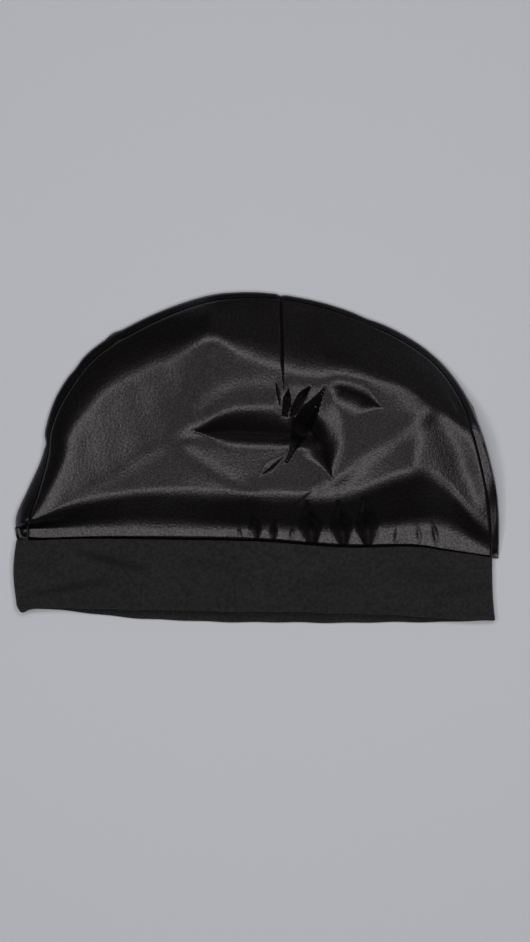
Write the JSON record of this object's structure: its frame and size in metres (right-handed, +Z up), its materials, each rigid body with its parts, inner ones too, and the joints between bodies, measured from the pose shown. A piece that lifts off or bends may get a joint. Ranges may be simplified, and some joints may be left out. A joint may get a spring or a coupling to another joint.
{
  "type": "satin skull cap with a jersey band, lying flat",
  "caption": "Soft satin skull cap with a dart at the top and a wide jersey band, laid flat on its back with its mouth open.",
  "frame": {"origin": "middle of the cap's footprint, on the surface it lies on", "axes": "+X to one side along the band, +Y from the mouth to the top of the crown, +Z up off the surface"},
  "size_m": [0.2635, 0.1798, 0.0232],
  "materials": {
    "satin": "glossy",
    "jersey": "matte"
  },
  "bodies": {
    "root": {"crown_front": "satin", "crown_back": "satin", "band": "jersey"}
  },
  "joints": []
}
